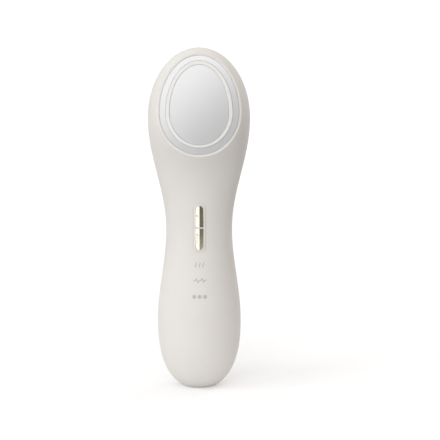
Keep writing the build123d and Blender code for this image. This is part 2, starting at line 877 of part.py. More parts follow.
def switch_plunger(side):
    """The rod that carries a cap's push into its switch."""
    return rod(0, cap_middle(side), -flange_back, -switch_front + plunger_entry, plunger_radius)


def push_switch(side):
    """The housing of a push switch on the board, bored for its plunger."""
    z = cap_middle(side)
    housing = block(
        (-switch_width / 2, switch_width / 2),
        (-switch_front, -board_front),
        (z - switch_length / 2, z + switch_length / 2),
    )
    bore_end = -switch_front + plunger_entry + button_travel + screw_gap
    return housing - rod(0, z, -switch_front - overrun, bore_end, plunger_radius + plunger_gap)


def button_bezel():
    """The pale frame round the caps, with the narrow bridge between them."""
    front = -casing_front - cap_proud - overrun
    frame = bar(bezel_outer_width, bezel_length, bezel_corner, front, -bezel_back, button_height)
    frame &= half_casing(-1, -bezel_proud, foot_proud)
    frame = chamfer(frame.faces().sort_by(Axis.Y)[0].edges(), bezel_bevel)
    frame -= strip_bar(front - overrun, -bezel_back + overrun, cap_gap)
    bridge_half = cap_split / 2 - cap_gap
    low, high = button_height - bridge_half, button_height + bridge_half
    return frame + ridged_bar(cap_width / 2 + cap_gap, low, high, bezel_back, bridge_sink)


# ================================================================ main board
def main_board():
    """The printed board behind the buttons and the mode marks."""
    board = bar(
        board_width, board_top - board_bottom, board_corner, -board_front, -board_back,
        (board_top + board_bottom) / 2,
    )
    for x, z in board_screw_places:
        board -= rod(x, z, -board_front - overrun, 0, small_screw_radius + screw_gap)
    return board


def y_screw(x, z, seat, length, turn=1):
    """A small screw along Y; its head stands behind the seat, or in front where turn is -1."""
    head = sorted((seat, seat + turn * small_head_thickness))
    shank = sorted((seat, seat - turn * length))
    return rod(x, z, *head, small_head_radius) + rod(x, z, *shank, small_screw_radius)


def on_board_back(width, depth, height, x, z):
    """A boxy component on the back of the main board."""
    return block(
        (x - width / 2, x + width / 2),
        (-board_back, -board_back + depth),
        (z - height / 2, z + height / 2),
    )


def indicator_lamps():
    """The three lamps behind the mode marks."""
    half = lamp_side / 2
    y = (-board_front - lamp_thickness, -board_front)
    return [block((-half, half), y, (z - half, z + half)) for z in lamp_heights]


def light_guides():
    """The clear blocks that spread each lamp's light over its mark."""
    back = -board_front - lamp_thickness
    return [
        bar(guide_width, guide_height, guide_corner, -guide_front(z), back, z) for z in lamp_heights
    ]


def round_on_board(radius, depth, places):
    """Round components on the back of the main board."""
    return [rod(x, z, -board_back, -board_back + depth, radius) for x, z in places]


# ================================================================ battery and charging
def battery_cell():
    """The round cell with its button end upwards."""
    can = fillet(cell_cylinder().edges(), cell_round)
    button = Pos(0, cell_back, cell_top) * Cylinder(cell_button_radius, 2 * cell_button_height)
    return can + button


def cell_pads():
    """The foam strips between the ribs and the cell."""
    sleeve = cell_cylinder(cell_pad_thickness) - cell_cylinder()
    pads = [sleeve & rib_window((0, reach), z) for z in rib_heights]
    return pads + [sleeve & rib_window((-reach, 0), z) for z in rib_heights if z < board_bottom]


def protection_board():
    """The round board over the cell's button end."""
    bottom = cell_top + cell_button_height
    disc = Pos(0, cell_back, bottom + protection_thickness / 2)
    return disc * Cylinder(cell_radius - protection_inset, protection_thickness)


def charge_board():
    """The small board that carries the charging socket."""
    board = block(
        (-charge_board_width / 2, charge_board_width / 2),
        (charge_board_front, charge_board_back),
        (charge_board_bottom, charge_board_top),
    )
    for x, z in charge_screw_places:
        board -= rod(x, z, 0, charge_board_back + overrun, small_screw_radius + screw_gap)
    return board


def charging_socket():
    """The metal shell of the charging port, closed at its inner end."""
    outer = extrude(SlotOverall(port_width, port_height), port_length)
    mouth = SlotOverall(port_width - 2 * port_wall, port_height - 2 * port_wall)
    return Pos(0, 0, port_setback) * (outer - extrude(mouth, port_length - port_block))


def socket_tongue():
    """The tongue with the contacts in the middle of the charging port."""
    top = port_setback + port_length - port_block
    return block(
        (-tongue_width / 2, tongue_width / 2),
        (-tongue_thickness / 2, tongue_thickness / 2),
        (top - tongue_length, top),
    )


# ================================================================ internal leads
def lead(points):
    """A soft lead along straight runs joined by tangent arcs."""
    runs = [(end - start).length for start, end in zip(points, points[1:])]
    radii = []
    for i in range(1, len(points) - 1):
        turn = radians((points[i] - points[i - 1]).get_angle(points[i + 1] - points[i]))
        radii.append(0.45 * min(runs[i - 1], runs[i]) / tan(turn / 2))
    path = FilletPolyline(*points, radius=radii)
    return sweep(Plane(origin=path @ 0, z_dir=path % 0) * Circle(lead_radius), path=path)


def at_face(x, rise, level):
    """A point given on the treatment face's own axes."""
    return face_frame.from_local_coords(Vector(x, rise, level))


def leads_from_cooler(offset):
    """One lead from the cooler's lower edge, past the heat sink and down to the board."""
    level = (hot_front + hot_back) / 2
    lower_edge = cooler_rise - cooler_side / 2
    return lead([
        at_face(offset, lower_edge, level),
        at_face(offset, lead_pass, level),
        at_face(offset, lead_pass, sink_back - lead_bend),
        Vector(offset, board_middle, board_top + lead_bend),
        Vector(offset, board_middle, board_top),
    ])


def lead_from_plate(offset, level):
    """One lead from the back of the contact plate down to the board."""
    turn_level = (hot_front + hot_back) / 2
    return lead([
        at_face(offset, sensor_rise, level),
        at_face(offset, sensor_rise, turn_level),
        at_face(offset, lead_pass, turn_level - lead_radius),
        at_face(offset, lead_pass, sink_back - lead_bend),
        Vector(offset, board_middle, board_top + lead_bend),
        Vector(offset, board_middle, board_top),
    ])


def lead_from_ring():
    """The lead from the electrode ring's tab down to the board."""
    return lead([
        at_face(0, terminal_rise, terminal_back),
        at_face(0, terminal_rise, terminal_back - lead_bend),
        Vector(-plate_lead_side, board_middle, board_top + 3 * lead_bend),
        Vector(-plate_lead_side, board_middle, board_top),
    ])


def lead_from_fan(offset):
    """One lead from the fan's lower edge down to the board."""
    level = fan_back + fan_floor
    lower_edge = cooler_rise - fan_side / 2
    return lead([
        at_face(offset, lower_edge, level),
        at_face(offset, lower_edge - 2 * lead_bend, level),
        Vector(offset, board_middle, board_top + 2 * lead_bend),
        Vector(offset, board_middle, board_top),
    ])


def lead_from_battery(offset):
    """One lead from the protection board to its socket on the main board."""
    y = battery_lead_front
    return lead([
        Vector(offset, -y, battery_top),
        Vector(offset, -y, lead_socket_height),
        Vector(offset, -board_back + lead_socket_depth, lead_socket_height),
    ])


def lead_from_charging(offset):
    """One lead from the charging board past the cell to the main board's lower edge."""
    return lead([
        Vector(offset, charge_board_front, charge_lead_height),
        Vector(offset, board_middle, charge_lead_height),
        Vector(offset, board_middle, board_bottom),
    ])


# ================================================================ the pieces, one node each
def pieces():
    """Every node of the wand with its solids."""
    nodes = {
        "front_shell": [front_shell()],
        "rear_shell": [rear_shell()],
        "base_foot": [base_foot()],
        "vent_grille": [vent_grille()],
        "shell_screws": shell_screws(),
        "screw_plugs": screw_plugs(),
        "electrode_ring": [electrode_ring()],
        "ring_terminal": [ring_terminal()],
        "insulating_ring": [insulating_ring()],
        "contact_plate": [contact_plate()],
        "plate_seal": [plate_seal()],
        "temperature_sensor": [temperature_sensor()],
        "front_thermal_pad": [cooler_slab(plate_back, cold_front)],
        "cold_ceramic": [cooler_slab(cold_front, cold_back)],
        "cooler_pellets": cooler_pellets(),
        "hot_ceramic": [cooler_slab(hot_front, hot_back)],
        "rear_thermal_pad": [cooler_slab(hot_back, sink_front)],
        "heat_sink": [heat_sink()],
        "sink_screws": [
            face_screw(x, rise, sink_back, sink_screw_length) for x, rise in sink_screw_places
        ],
        "fan_frame": [fan_frame()],
        "fan_bush": [fan_bush()],
        "fan_motor": [fan_motor()],
        "fan_shaft": [fan_shaft()],
        "fan_impeller": [fan_impeller()],
        "fan_screws": [
            face_screw(x, rise, fan_back, fan_depth + fan_screw_bite) for x, rise in fan_screw_places
        ],
        "button_bezel": [button_bezel()],
        "mode_button": [button_cap(1)],
        "power_button": [button_cap(-1)],
        "mode_plunger": [switch_plunger(1)],
        "power_plunger": [switch_plunger(-1)],
        "push_switches": [push_switch(1), push_switch(-1)],
        "main_board": [main_board()],
        "board_screws": [
            y_screw(x, z, -board_back, board_screw_length) for x, z in board_screw_places
        ],
        "controller_chip": [on_board_back(chip_side, chip_thickness, chip_side, 0, chip_height)],
        "pulse_transformer": [
            on_board_back(
                transformer_side, transformer_depth, transformer_side, 0, transformer_height
            )
        ],
        "capacitors": round_on_board(
            capacitor_radius, capacitor_depth,
            [(side * capacitor_side, capacitor_height) for side in (-1, 1)],
        ),
        "buzzer": round_on_board(buzzer_radius, buzzer_depth, [(0, buzzer_height)]),
        "lead_sockets": [
            on_board_back(
                lead_socket_width, lead_socket_depth, lead_socket_width,
                side * lead_socket_side, lead_socket_height,
            )
            for side in (-1, 1)
        ],
        "indicator_lamps": indicator_lamps(),
        "light_guides": light_guides(),
        "battery_cell": [battery_cell()],
        "cell_pads": cell_pads(),
        "protection_board": [protection_board()],
        "charge_board": [charge_board()],
        "charge_screws": [
            y_screw(x, z, charge_board_front, charge_screw_length, turn=-1)
            for x, z in charge_screw_places
        ],
        "charging_socket": [charging_socket()],
        "socket_tongue": [socket_tongue()],
        "battery_leads": [lead_from_battery(side * lead_socket_side) for side in (-1, 1)],
        "charge_leads": [lead_from_charging(side * charge_lead_side) for side in (-1, 1)],
        "cooler_leads": [leads_from_cooler(side * cooler_lead_side) for side in (-1, 1)],
        "fan_leads": [lead_from_fan(side * fan_lead_side) for side in (-1, 1)],
        "plate_lead": [lead_from_plate(plate_lead_side, plate_back)],
        "ring_lead": [lead_from_ring()],
        "sensor_lead": [lead_from_plate(0, plate_back - sensor_height)],
    }
    return nodes


os.makedirs("parts", exist_ok=True)
for name, solids in pieces().items():
    export_step(solids[0] if len(solids) == 1 else Compound(children=solids), f"parts/{name}.step")
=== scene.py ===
"""The looks of the hot and cool facial toning wand: finishes, printed signs and the studio.

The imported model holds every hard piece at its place. This script dresses each of them in the
finish of its material slot, adds the signs printed and etched on them, and sets up the studio.
Metres, +Z up along the wand, the treatment face looks towards -Y.
"""

import json
import logging
from dataclasses import dataclass, field
from enum import Enum
from math import cos, degrees, pi, radians, sin
from typing import ClassVar

import bpy
from mathutils import Euler, Matrix, Vector


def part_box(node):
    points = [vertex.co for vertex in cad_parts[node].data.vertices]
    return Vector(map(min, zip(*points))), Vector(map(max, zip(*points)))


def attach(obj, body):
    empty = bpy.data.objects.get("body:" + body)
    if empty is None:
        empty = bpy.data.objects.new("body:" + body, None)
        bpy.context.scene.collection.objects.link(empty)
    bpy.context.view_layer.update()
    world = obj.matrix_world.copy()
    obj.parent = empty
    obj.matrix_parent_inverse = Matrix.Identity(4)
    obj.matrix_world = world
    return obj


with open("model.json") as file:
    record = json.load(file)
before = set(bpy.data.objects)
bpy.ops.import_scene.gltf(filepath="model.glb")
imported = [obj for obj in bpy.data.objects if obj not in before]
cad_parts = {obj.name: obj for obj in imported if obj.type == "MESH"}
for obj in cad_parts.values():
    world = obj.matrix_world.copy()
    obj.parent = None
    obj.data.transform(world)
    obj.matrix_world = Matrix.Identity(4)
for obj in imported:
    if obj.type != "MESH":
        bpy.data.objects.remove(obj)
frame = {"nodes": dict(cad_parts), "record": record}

MM = 0.001
log = logging.getLogger("wand")

Colour = tuple[float, float, float]
Socket = bpy.types.NodeSocket


# ------------------------------------------------------------------ shader nodes
class Sketch:
    """Lays out the nodes of one shader."""

    def __init__(self, tree: bpy.types.NodeTree) -> None:
        """Start with an empty tree.

        Args:
            tree: The node tree to fill.
        """
        self.tree = tree
        self.tree.nodes.clear()

    def node(self, kind: str, inputs: dict[str | int, object] | None = None,
             **settings: object) -> bpy.types.Node:
        """Add a node.

        Args:
            kind: The node's type.
            inputs: Values or sockets for its inputs, by name or number.
            **settings: Properties of the node.

        Returns:
            The new node.
        """
        made = self.tree.nodes.new(kind)
        for key, value in settings.items():
            setattr(made, key, value)
        for key, value in (inputs or {}).items():
            if isinstance(value, Socket):
                self.tree.links.new(value, made.inputs[key])
            else:
                made.inputs[key].default_value = value
        return made

    def place(self, scale: tuple[float, float, float] = (1, 1, 1)) -> Socket:
        """Object coordinates, stretched for a pattern that runs one way.

        Args:
            scale: The stretch of each axis.

        Returns:
            The coordinates.
        """
        where = self.node("ShaderNodeTexCoord").outputs["Object"]
        return self.node("ShaderNodeMapping", {"Vector": where, "Scale": scale}).outputs[0]

    def noise(self, where: Socket, per_metre: float, detail: float = 2.0) -> Socket:
        """Soft noise from 0 to 1.

        Args:
            where: The coordinates that it is read at.
            per_metre: How many features it has to the metre.
            detail: How many finer layers it has.

        Returns:
            The noise.
        """
        inputs = {"Vector": where, "Scale": per_metre, "Detail": detail}
        return self.node("ShaderNodeTexNoise", inputs).outputs["Fac"]

    def spread(self, value: Socket, low: float, high: float, start: float = 0.3,
               end: float = 0.7) -> Socket:
        """Map a value between start and end onto low to high.

        Args:
            value: What is mapped.
            low: The result at start.
            high: The result at end.
            start: The value that gives low.
            end: The value that gives high.

        Returns:
            The mapped value.
        """
        inputs = {0: value, 1: start, 2: end, 3: low, 4: high}
        return self.node("ShaderNodeMapRange", inputs).outputs[0]

    def sum(self, *values: Socket | float) -> Socket:
        """Add values up.

        Args:
            *values: Sockets or numbers.

        Returns:
            Their sum.
        """
        total = values[0]
        for value in values[1:]:
            total = self.node("ShaderNodeMath", {0: total, 1: value}, operation="ADD").outputs[0]
        return total

    def times(self, first: Socket | float, second: Socket | float) -> Socket:
        """Multiply two values.

        Args:
            first: A socket or number.
            second: Another.

        Returns:
            Their product.
        """
        node = self.node("ShaderNodeMath", {0: first, 1: second}, operation="MULTIPLY")
        return node.outputs[0]

    def dot(self, first: Socket, second: Socket | Vector) -> Socket:
        """The dot product of two vectors."""
        inputs = {0: first, 1: second}
        return self.node("ShaderNodeVectorMath", inputs, operation="DOT_PRODUCT").outputs["Value"]

    def mix(self, share: Socket, first: Colour | Socket, second: Colour | Socket) -> Socket:
        """Go from one colour to another.

        Args:
            share: How far to go, from 0 to 1.
            first: The colour or socket at 0.
            second: The colour or socket at 1.

        Returns:
            The mixed colour.
        """
        node = self.node("ShaderNodeMix", data_type="RGBA")
        self.tree.links.new(share, node.inputs[0])
        for socket, colour in ((node.inputs[6], first), (node.inputs[7], second)):
            if isinstance(colour, Socket):
                self.tree.links.new(colour, socket)
            else:
                socket.default_value = (*colour, 1)
        return node.outputs[2]


# ------------------------------------------------------------------ finishes
class Relief(Enum):
    """The fine relief of a surface."""

    MOULDED = "even grain of a mould"
    BRUSHED = "fine scratches one way"
    CAST = "coarse, pitted"
    CELLULAR = "small bubbles"
    WOUND = "wire laid side by side"
    TRACKED = "tracks of a printed board"


@dataclass(frozen=True)
class Finish:
    """What a surface is made of, and how it is worked.

    The grain is in features per metre and the depth in millimetres. Mottle and smudge are how far
    the colour and the roughness stray, and worn is how far the edges have brightened. The values
    in capitals hold for every finish, and a reach is the span of a pattern's values that counts.
    """

    BRUSH_STRETCH: ClassVar[tuple[float, float, float]] = (1, 0.04, 0.04)
    PITS: ClassVar[float] = 0.4
    WIRES: ClassVar[float] = 0.3
    WIRE_WAVER: ClassVar[float] = 0.6
    TRACK_STRETCH: ClassVar[tuple[float, float, float]] = (1, 1, 0.35)
    TRACKS: ClassVar[float] = 0.12
    TRACK_REACH: ClassVar[tuple[float, float]] = (0.04, 0.07)
    CLOUDS_PER_METRE: ClassVar[float] = 70.0
    SMEARS_PER_METRE: ClassVar[float] = 160.0
    CHIPS_PER_METRE: ClassVar[float] = 900.0
    SPECK_REACH: ClassVar[tuple[float, float]] = (0.2, 0.8)
    SPECK_SHARE: ClassVar[float] = 0.25
    SPECK_SHADE: ClassVar[float] = -3.0
    WORN_SHADE: ClassVar[float] = 0.35
    EDGE_RADIUS: ClassVar[float] = 0.18 * MM
    EDGE_REACH: ClassVar[tuple[float, float]] = (0.86, 0.99)
    LEAST_CHIP: ClassVar[float] = 0.2
    COAT_ROUGHNESS: ClassVar[float] = 0.12
    SHEEN_ROUGHNESS: ClassVar[float] = 0.45

    slot: str
    colour: Colour
    roughness: float
    metallic: float = 0.0
    relief: Relief = Relief.MOULDED
    grain: float = 4500.0
    depth: float = 0.05
    mottle: float = 0.03
    smudge: float = 0.05
    worn: float = 0.0
    coat: float = 0.0
    sheen: float = 0.0
    clear: float = 0.0
    specular: float = 0.5

    def shaded(self, by: float) -> Colour:
        """The colour made lighter or darker by a share of itself.

        Args:
            by: The share; below 0 is darker.

        Returns:
            The new colour.
        """
        return tuple(min(1.0, part * (1 + by)) for part in self.colour)

    def height(self, draw: Sketch) -> Socket:
        """The relief's height for the bump.

        Args:
            draw: The sketch of the material.

        Returns:
            A value of 0 to 1 over the surface.
        """
        if self.relief is Relief.BRUSHED:
            return draw.noise(draw.place(self.BRUSH_STRETCH), self.grain, 4)
        if self.relief is Relief.CAST:
            return draw.noise(draw.place(), self.grain * self.PITS, 8)
        if self.relief is Relief.CELLULAR:
            cells = {"Vector": draw.place(), "Scale": self.grain}
            return draw.node("ShaderNodeTexVoronoi", cells).outputs["Distance"]
        if self.relief is Relief.WOUND:
            wire = {"Vector": draw.place(), "Scale": self.grain * self.WIRES,
                    "Distortion": self.WIRE_WAVER}
            return draw.node("ShaderNodeTexWave", wire, bands_direction="Z").outputs["Fac"]
        if self.relief is Relief.TRACKED:
            tracks = {"Vector": draw.place(self.TRACK_STRETCH), "Scale": self.grain * self.TRACKS}
            edges = draw.node("ShaderNodeTexVoronoi", tracks, feature="DISTANCE_TO_EDGE")
            return draw.spread(edges.outputs["Distance"], 1, 0, *self.TRACK_REACH)
        return draw.noise(draw.place(), self.grain, 3)

    def material(self) -> bpy.types.Material:
        """Make the finish as a node material.

        Returns:
            The material, named after its slot.
        """
        made = bpy.data.materials.new(self.slot)
        made.use_nodes = True
        draw = Sketch(made.node_tree)
        where = draw.place()
        relief = self.height(draw)
        cloud = draw.spread(draw.noise(where, self.CLOUDS_PER_METRE, 3), 0, 1)
        colour = draw.mix(cloud, self.shaded(-self.mottle), self.shaded(self.mottle))
        speck = draw.times(draw.spread(relief, 0, 1, *self.SPECK_REACH), self.SPECK_SHARE)
        colour = draw.mix(speck, colour, self.shaded(self.SPECK_SHADE * self.mottle))
        if self.worn:
            rim = draw.times(self.rim(draw), self.worn)
            colour = draw.mix(rim, colour, self.shaded(self.WORN_SHADE))
        smears = draw.noise(where, self.SMEARS_PER_METRE, 5)
        rough = draw.spread(smears, self.roughness - self.smudge, self.roughness + self.smudge)
        bump = draw.node("ShaderNodeBump", {"Height": relief, "Strength": 1.0,
                                            "Distance": self.depth * MM})
        surface = draw.node("ShaderNodeBsdfPrincipled", {
            "Base Color": colour, "Roughness": rough, "Normal": bump.outputs[0],
            "Metallic": self.metallic, "Specular IOR Level": self.specular,
            "Coat Weight": self.coat, "Coat Roughness": self.COAT_ROUGHNESS,
            "Sheen Weight": self.sheen, "Sheen Roughness": self.SHEEN_ROUGHNESS,
            "Transmission Weight": self.clear,
        })
        draw.node("ShaderNodeOutputMaterial", {"Surface": surface.outputs[0]})
        return made

    def rim(self, draw: Sketch) -> Socket:
        """How near a point is to a sharp edge, broken up by noise.

        Args:
            draw: The sketch of the material.

        Returns:
            1 on an edge, 0 away from it.
        """
        rounded = draw.node("ShaderNodeBevel", {"Radius": self.EDGE_RADIUS}, samples=4).outputs[0]
        flat = draw.node("ShaderNodeNewGeometry").outputs["Normal"]
        edge = draw.spread(draw.dot(rounded, flat), 1, 0, *self.EDGE_REACH)
        chips = draw.noise(draw.place(), self.CHIPS_PER_METRE, 4)
        return draw.times(edge, draw.spread(chips, self.LEAST_CHIP, 1))


FINISHES = [
    Finish("casing_shell", (0.765, 0.737, 0.696), 0.52, grain=5200, depth=0.006, mottle=0.012,
           smudge=0.05, worn=0.05, sheen=0.06, specular=0.42),
    Finish("foot_pad", (0.640, 0.615, 0.575), 0.62, grain=3800, depth=0.012, mottle=0.03,
           worn=0.12),
    Finish("silver_contact", (0.865, 0.862, 0.865), 0.22, metallic=1, relief=Relief.BRUSHED,
           grain=2600, depth=0.0003, mottle=0.003, smudge=0.02, worn=0.04),
    Finish("cream_insulator", (0.805, 0.790, 0.755), 0.30, grain=3600, depth=0.003, mottle=0.012,
           worn=0.06, coat=0.15),
    Finish("champagne_gold", (0.95, 0.905, 0.78), 0.13, metallic=1, relief=Relief.BRUSHED,
           grain=2400, depth=0.0008, mottle=0.010, smudge=0.03, worn=0.15),
    Finish("pale_bezel", (0.815, 0.789, 0.742), 0.34, grain=4200, depth=0.004, mottle=0.015,
           worn=0.08, coat=0.1),
    Finish("soft_seal", (0.66, 0.635, 0.60), 0.66, grain=2600, depth=0.02),
    Finish("thermal_pad", (0.36, 0.38, 0.43), 0.75, relief=Relief.CAST, grain=3000, depth=0.05),
    Finish("white_ceramic", (0.86, 0.86, 0.83), 0.45, relief=Relief.CAST, grain=5000, depth=0.01),
    Finish("pellet_alloy", (0.40, 0.41, 0.44), 0.42, metallic=1, relief=Relief.CAST, depth=0.02),
    Finish("sink_aluminium", (0.80, 0.81, 0.82), 0.34, metallic=1, relief=Relief.BRUSHED,
           grain=3000, depth=0.01, worn=0.2),
    Finish("bright_steel", (0.66, 0.66, 0.67), 0.28, metallic=1, relief=Relief.BRUSHED,
           grain=3500, depth=0.006, worn=0.3),
    Finish("dark_plastic", (0.030, 0.030, 0.033), 0.46, grain=3200, depth=0.02, mottle=0.12,
           worn=0.2),
    Finish("copper_winding", (0.78, 0.40, 0.22), 0.33, metallic=1, relief=Relief.WOUND,
           grain=4000, depth=0.12),
    Finish("circuit_board", (0.025, 0.13, 0.065), 0.38, relief=Relief.TRACKED, grain=5000,
           depth=0.03, mottle=0.18, coat=0.2),
    Finish("cell_wrap", (0.06, 0.19, 0.36), 0.30, grain=700, depth=0.03, mottle=0.05, coat=0.3),
    Finish("foam_pad", (0.055, 0.055, 0.06), 0.90, relief=Relief.CELLULAR, grain=2200,
           depth=0.25, mottle=0.2),
    Finish("clear_guide", (0.86, 0.88, 0.88), 0.30, grain=3000, depth=0.01, clear=0.55),
    Finish("lamp_body", (0.88, 0.84, 0.60), 0.30, grain=3000, depth=0.006, coat=0.3),
    Finish("lead_sleeve", (0.36, 0.035, 0.030), 0.42, grain=2400, depth=0.015, mottle=0.08),
]
# The record has no slot for the signs, so they bear the slots of the guides and of the caps.
PRINT = Finish("clear_guide", (0.380, 0.368, 0.350), 0.50, grain=5200, depth=0.004, mottle=0.05)
ETCH = Finish("champagne_gold", (0.42, 0.38, 0.29), 0.36, metallic=1, grain=5200, depth=0.004)


# ------------------------------------------------------------------ mesh tools
def ahead_of(heading: float) -> Vector:
    """The direction of a heading in the XZ plane, in degrees from +X."""
    return Vector((cos(radians(heading)), 0, sin(radians(heading))))


def only(thing: bpy.types.Object) -> None:
    """Make one object the active and only selected one.

    Args:
        thing: The object.
    """
    bpy.ops.object.select_all(action="DESELECT")
    thing.select_set(True)
    bpy.context.view_layer.objects.active = thing


def apply_modifier(thing: bpy.types.Object, kind: str, **settings: object) -> None:
    """Add a modifier and apply it.

    Args:
        thing: The object that is changed.
        kind: The modifier's type.
        **settings: Its properties.
    """
    only(thing)
    added = thing.modifiers.new(kind.title(), kind)
    for key, value in settings.items():
        setattr(added, key, value)
    bpy.ops.object.modifier_apply(modifier=added.name)


@dataclass
class SignPen:
    """Draws a flat sign stroke by stroke in front of the wand, then lays it on a surface.

    The strokes are ribbons in the XZ plane. Each starts as a small square whose end edge is
    extruded along straights and spun round bends, about step or turn_step degrees at a time. The
    sign is bite times as thick as it stands proud, so that its back is sunk in the surface.
    """

    name: str
    width: float
    plane: float = -40 * MM
    step: float = 0.35 * MM
    turn_step: float = 22.0
    merge: float = 0.01 * MM
    bite: float = 1.6
    sign: bpy.types.Object | None = None
    spot: Vector = field(default_factory=Vector)
    heading: float = 0.0

    def start(self, x: float, z: float, heading: float) -> "SignPen":
        """Begin a stroke.

        Args:
            x: Where it begins across the wand.
            z: Where it begins up the wand.
            heading: Its direction in degrees, 0 to the right and 90 upwards.

        Returns:
            The pen itself.
        """
        if self.sign is not None:
            bpy.ops.object.mode_set(mode="EDIT")
            bpy.ops.mesh.select_all(action="DESELECT")
        else:
            bpy.ops.object.select_all(action="DESELECT")
        spot = Vector((x, self.plane, z))
        bpy.ops.mesh.primitive_plane_add(size=self.width, location=spot, rotation=(pi / 2, 0, 0))
        if self.sign is None:
            self.sign = bpy.context.object
            self.sign.name = self.name
            bpy.ops.object.transform_apply(location=True, rotation=True, scale=True)
            bpy.ops.object.mode_set(mode="EDIT")
        turn = Matrix.Rotation(radians(-heading), 4, "Y")
        ahead = ahead_of(heading)
        bpy.ops.object.mode_set(mode="OBJECT")
        mesh = self.sign.data
        for vertex in mesh.vertices:
            if vertex.select:
                vertex.co = spot + turn @ (vertex.co - spot)
        self.spot = spot + ahead * self.width / 2
        self.heading = heading
        self.pick_end(ahead)
        return self

    def pick_end(self, ahead: Vector) -> None:
        """Select the newest square's edge that lies furthest ahead.

        Args:
            ahead: The direction of the stroke.
        """
        mesh = self.sign.data
        spots = mesh.vertices
        fresh = [edge for edge in mesh.edges if all(spots[i].select for i in edge.vertices)]
        end = max(fresh, key=lambda edge: sum(spots[i].co.dot(ahead) for i in edge.vertices))
        ends = set(end.vertices)
        for face in mesh.polygons:
            face.select = False
        for edge in mesh.edges:
            edge.select = edge.index == end.index
        for vertex in spots:
            vertex.select = vertex.index in ends
        bpy.ops.object.mode_set(mode="EDIT")
        bpy.ops.mesh.select_mode(type="EDGE")

    def straight(self, length: float) -> "SignPen":
        """Carry the stroke on along its heading.

        Args:
            length: How far.

        Returns:
            The pen itself.
        """
        count = max(1, round(length / self.step))
        ahead = ahead_of(self.heading)
        move = {"value": tuple(ahead * length / count)}
        for _ in range(count):
            bpy.ops.mesh.extrude_region_move(TRANSFORM_OT_translate=move)
        self.spot = self.spot + ahead * length
        return self

    def bend(self, radius: float, turn: float) -> "SignPen":
        """Carry the stroke on round a bend.

        Args:
            radius: Of the ribbon's middle.
            turn: How far it turns in degrees; positive is to the left.

        Returns:
            The pen itself.
        """
        side = 90 if turn > 0 else -90
        centre = self.spot + radius * ahead_of(self.heading + side)
        steps = max(1, round(abs(turn) / self.turn_step))
        bpy.ops.mesh.spin(steps=steps, angle=radians(turn), center=centre, axis=(0, 1, 0))
        self.heading += turn
        self.spot = centre - radius * ahead_of(self.heading + side)
        return self

    def face_outwards(self) -> None:
        """Turn all faces of the sign outwards."""
        bpy.ops.object.mode_set(mode="EDIT")
        bpy.ops.mesh.select_all(action="SELECT")
        bpy.ops.mesh.normals_make_consistent(inside=False)
        bpy.ops.object.mode_set(mode="OBJECT")

    def lay_on(self, surface: bpy.types.Object, proud: float, body: str,
               finish: Finish) -> bpy.types.Object:
        """Lay the sign on a surface, give it a thickness and dress it.

        Args:
            surface: What the sign is printed on.
            proud: How far it stands out.
            body: The body that it rides on.
            finish: Its finish.

        Returns:
            The finished piece.
        """
        bpy.ops.mesh.select_all(action="SELECT")
        bpy.ops.mesh.remove_doubles(threshold=self.merge)
        bpy.ops.object.mode_set(mode="OBJECT")
        apply_modifier(self.sign, "SHRINKWRAP", wrap_method="PROJECT", wrap_mode="ABOVE_SURFACE",
                       use_project_y=True, use_positive_direction=True, target=surface,
                       offset=proud)
        self.face_outwards()
        inwards = sum(face.normal.y * face.area for face in self.sign.data.polygons)
        apply_modifier(self.sign, "SOLIDIFY", thickness=self.bite * proud,
                       offset=1 if inwards > 0 else -1)
        self.face_outwards()
        dress(self.sign, finish, body)
        return self.sign


def dress(piece: bpy.types.Object, finish: Finish, body: str) -> None:
    """Give a new piece its finish and the body that it rides on.

    Args:
        piece: The piece.
        finish: Its finish.
        body: The name of the body.
    """
    piece.data.materials.clear()
    piece.data.materials.append(finish.material())
    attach(piece, body)


# ------------------------------------------------------------------ sub-assemblies
@dataclass
class Dressing:
    """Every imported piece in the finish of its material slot."""

    finishes: list[Finish]

    def build(self) -> None:
        """Make each finish once and put it on the nodes of its slot."""
        made = {finish.slot: finish.material() for finish in self.finishes}
        for part in frame["record"]["subparts"]:
            piece = frame["nodes"][part["node"]]
            piece.data.materials.clear()
            piece.data.materials.append(made[part["material_slot"]])
            log.info("%s in %s", part["node"], part["material_slot"])


